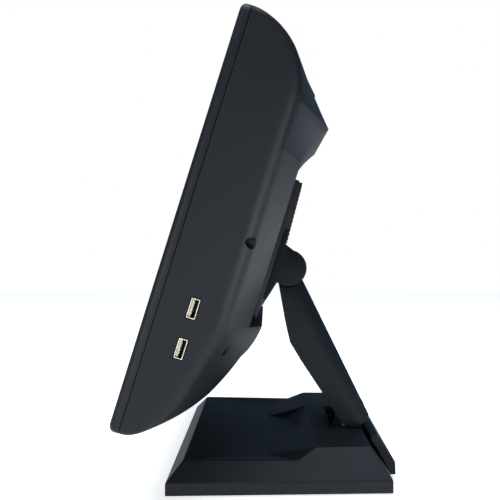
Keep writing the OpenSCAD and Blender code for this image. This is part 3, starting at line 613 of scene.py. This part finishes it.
seam_gap = 0.4
cable_bay = (-82, 82, 25, 51, -34, 34)
connector_gap = (-74, 74, 26.5, 44, 30, 39)
usb_holes = [(163, 187, 25.5, 32.5, low, high) for low, high in ((57.1, 71.5), (84.3, 98.7))]
housing = shape("housing", *outside)
carve(housing, "DIFFERENCE", hollow, pod_zone("pod_space", 0),
      bars("seam", (-190, 190, 0, seam_d + seam_gap, -5, head_h + 5)),
      rods("recesses", "d", *[(x, u, d, 95, 4) for x, u, d in recesses]),
      bars("openings", cable_bay, connector_gap, *usb_holes),
      rods("button_hole", "x", (button_d, button_u, -186, -161, 5.3), (button_d, lamp_u, -186, -161, 1.6)))
finished_moulding(housing, "head_back", 0.00045, black_abs, "head", "rear_housing")


# ---------------------------------------------------------------- customer display pod
# A smaller moulding lies on the housing's deck and holds a display for the customer behind a
# smoked window that stands a little proud. The gap round it is a fine dark line.
pod = shape("pod", *outside)
carve(pod, "INTERSECT", pod_zone("pod_fill", 0.18))


def pod_hollow_rings(u):
    """Rings of the space in the pod: 8 mm inside the ridge, and one wall inside the outline's lowest
    neighbour."""
    back = back_depth(np.stack([u - 3, u, u + 3])).min(0) - wall
    x = ridge_half(u) - 8
    under = np.stack([x, ridge_depth(u) - 12], -1)
    over = np.stack([x, ridge_depth(u) - 1], -1)
    return both_sides(np.stack([under, over, np.stack([back_half(u) - 3, back], -1)], 1), u)


def face_bars(name, *sizes):
    """Boxes (x0, x1, n0, n1, s0, s1) on the slanted face: n out of it, and s up it from the pod's tip."""
    points, faces = boxes(*sizes)
    x, n, s = points.T
    tilt = math.atan(face_slope)
    return shape(name, np.stack([x, pod_d + n * math.cos(tilt) - s * math.sin(tilt),
                                 tip_u + n * math.sin(tilt) + s * math.cos(tilt)], -1), faces)


pod_rows = np.array([pod_u + wall, 216, 224, 232, tip_u - 2, 247, 255, 264, 274.])
carve(pod, "DIFFERENCE", shape("pod_inside", *closed_loft(pod_hollow_rings(pod_rows))),
      face_bars("window_opening", (-84, 84, -8, 12, 31, 49)))
finished_moulding(pod, "customer_pod", 0.0007, dark_trim, "head", "display_pod")


# ---------------------------------------------------------------- customer window
# A smoked acrylic window is taped over the pod's opening and stands 1.5 mm proud of the slanted
# face. A two-line display on a small green board sits close behind it.
def clear_coated(name, colour, roughness, smudge=0.08):
    """Dark acrylic or glass under a clear gloss: wiped smudges change the gloss, dust changes the shade."""
    f = Finish(name)
    wiped = f.noise(1.0, 4, f.stretched(18, 9, 60), 0.6)
    dust = f.smooth(f.noise(900, 5, roughness=0.7), 0.68, 0.78)
    pale = tuple(min(1, 2.5 * c + 0.01) for c in colour) + (1,)
    return f.surface(
        Base_Color=f.between(dust * 0.3, colour + (1,), pale),
        Roughness=roughness + smudge * wiped,
        Specular_IOR_Level=0.5,
        Normal=f.bump(wiped, 0.01, 0.0001))


smoked = clear_coated("smoked_acrylic", (0.006, 0.006, 0.008), 0.07)
eased("customer_window", "pod_window", 0.0004, smoked, "head")


def printed_board(name):
    """A green solder mask: straight copper tracks show through it as paler lines, with dull cloudy shade."""
    f = Finish(name)
    tracks = f.smooth(f.noise(1.0, 1, f.stretched(150, 900, 90)), 0.52, 0.58)
    cloud = f.noise(70, 3)
    return f.surface(
        Base_Color=f.between(tracks * 0.6, f.between(cloud, (0.01, 0.09, 0.04, 1), (0.015, 0.13, 0.05, 1)),
                             (0.03, 0.26, 0.10, 1)),
        Roughness=0.35 + 0.15 * cloud,
        Normal=f.bump(tracks, 0.15, 0.0001))


board_green = printed_board("green_solder_mask")
painted("pod_display", board_green)


# ---------------------------------------------------------------- front frame
# The screen's frame is one moulding in the housing's black ABS. It meets the housing at a fine
# seam all round, where both have a small radius, and its lip holds the glass.
eased("screen_surround", "front_bezel", 0.0005, black_abs, "head")


# ---------------------------------------------------------------- screen
# A resistive touch glass lies on a black foam tape in the frame's rim. Behind it the LCD module
# sits in a pressed steel frame, held to the housing's posts by eight screws.
picture_x, picture_up = 0.1525, 0.1145     # half of the picture's width and height, in metres


def touch_glass_finish():
    """Black glass with a printed border: inside the border the liquid-crystal cells look a very dark
    blue-grey. Greasy wipes across it change the gloss."""
    f = Finish("touch_screen_glass")
    up = f.node("ShaderNodeVectorMath", {"operation": "DOT_PRODUCT"},
                {0: f.place, 1: (0, math.sin(lean), math.cos(lean))}, "Value")
    middle = (head_y * math.sin(lean) + head_z * math.cos(lean) + head_h / 2) / 1000
    high = f.node("ShaderNodeMath", {"operation": "ABSOLUTE"}, {0: up - middle})
    wide = f.node("ShaderNodeMath", {"operation": "ABSOLUTE"}, {0: f.axis("X")})
    lit = (wide < picture_x) * (high < picture_up)
    wiped = f.noise(1.0, 5, f.stretched(9, 22, 30), 0.62)
    cells = f.between(f.noise(4, 2), (0.016, 0.018, 0.022, 1), (0.022, 0.025, 0.029, 1))
    return f.surface(
        Base_Color=f.between(lit, (0.004, 0.004, 0.005, 1), cells),
        Roughness=0.10 + 0.10 * wiped + 0.05 * lit,
        Specular_IOR_Level=0.5,
        Normal=f.bump(wiped, 0.008, 0.0001))


eased("front_glass", "touch_glass", 0.0004, touch_glass_finish(), "head", 2)
foam = moulded("black_foam_tape", (0.012, 0.012, 0.012), 0.85, 0.1, 0.5)
painted("glass_tape", foam)
painted("lcd_panel", plated("panel_can", (0.42, 0.43, 0.45), 0.4))
painted("panel_frame", zinc)
painted("frame_screws", screw_steel)


# ---------------------------------------------------------------- inside the head
# Screws pull the frame's posts to the housing. The mainboard stands on four standoffs with its
# processor under a finned block; memory, drive, touch controller and speaker sit beside it.
def black_epoxy():
    """Moulded epoxy of a chip: a fine matt grain in near black."""
    f = Finish("black_epoxy")
    grit = f.noise(2200, 2)
    return f.surface(Base_Color=f.between(grit, (0.012, 0.012, 0.013, 1), (0.03, 0.03, 0.032, 1)),
                     Roughness=0.55 + 0.15 * grit,
                     Normal=f.bump(grit, 0.15, 0.0001))


chip_black = black_epoxy()
for part in ("housing_screws", "chassis_posts", "board_standoffs", "board_screws"):
    painted(part, screw_steel)
for part in ("mainboard", "memory_module", "touch_controller", "side_usb_board", "button_switch"):
    painted(part, board_green)
painted("processor", chip_black)
painted("speaker", chip_black)
painted("heat_sink", plated("extruded_aluminium", (0.66, 0.67, 0.69), 0.32, (2000, 60, 60)))
painted("solid_state_drive", plated("drive_case", (0.36, 0.37, 0.39), 0.42))


# ---------------------------------------------------------------- connectors in the chin
# A punched steel panel faces down into the cable bay. Behind its holes stand the power inlet,
# the network socket, two stacked USB sockets, two serial ports and the drawer socket.
nickel = plated("nickel_plated_shell", (0.60, 0.58, 0.54), 0.24, (400, 400, 400))
painted("io_panel", zinc)
for part in ("lan_port", "usb_stack"):
    painted(part, nickel)
socket_black = moulded("socket_nylon", (0.014, 0.014, 0.015), 0.5, 0.3)
for part in ("dc_inlet", "drawer_port", "serial_ports"):
    painted(part, socket_black)


# ---------------------------------------------------------------- side sockets
# Two upright USB sockets open through the side wall: folded nickel shells, each with a cream
# nylon tongue on its front half that carries four gilt contacts.
def cream_nylon():
    """Glass-filled nylon: warm cream with faint flow marks and a slightly yellow shade in patches."""
    f = Finish("cream_nylon")
    flow = f.noise(260, 3)
    return f.surface(Base_Color=f.between(flow, (0.36, 0.33, 0.26, 1), (0.46, 0.43, 0.35, 1)),
                     Roughness=0.4 + 0.15 * flow,
                     Normal=f.bump(flow, 0.1, 0.0001))


def socket_shell():
    """Nickel plate at the mouth of a socket; from a millimetre in, painted shade: near black, dull and not
    metal, for the shade deep in the shell.
    """
    f = Finish("socket_shell")
    cloud = f.noise(400, 3)
    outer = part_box("usb_shells")[1][0]
    # Painted shade: 0 from a millimetre inside the mouth, where the shell is painted near black, 1 on the
    # plate at the mouth.
    out_of_painted_shade = f.smooth(f.axis("X"), outer - 0.0012, outer - 0.0004)
    return f.surface(
        Base_Color=f.between(out_of_painted_shade, (0.010, 0.010, 0.011, 1),
                             f.between(cloud, (0.50, 0.48, 0.44, 1), (0.68, 0.66, 0.61, 1))),
        Roughness=0.5 - 0.22 * out_of_painted_shade + 0.08 * cloud,
        Metallic=out_of_painted_shade)


painted("usb_shells", socket_shell())
painted("usb_tongues", cream_nylon())
painted("usb_contacts", plated("gilt_contacts", (0.85, 0.62, 0.26), 0.25, (800, 800, 800)))


# ---------------------------------------------------------------- power button and lamp
# A round button slides in its hole on the far side and presses a switch on a small board. The
# lamp above it is a milky light pipe that glows a weak green.
eased("round_button", "power_button", 0.0004, dark_trim, "power_button")


def light_pipe():
    """Milky acrylic with a faint green glow, a little brighter in cloudy patches."""
    f = Finish("milky_light_pipe")
    milk = f.noise(500, 3)
    return f.surface(Base_Color=f.between(milk, (0.45, 0.62, 0.50, 1), (0.58, 0.74, 0.62, 1)),
                     Roughness=0.25 + 0.1 * milk,
                     Emission_Color=f.between(milk, (0.05, 0.5, 0.15, 1), (0.10, 0.7, 0.25, 1)),
                     Emission_Strength=0.4)


painted("status_lamp", light_pipe())
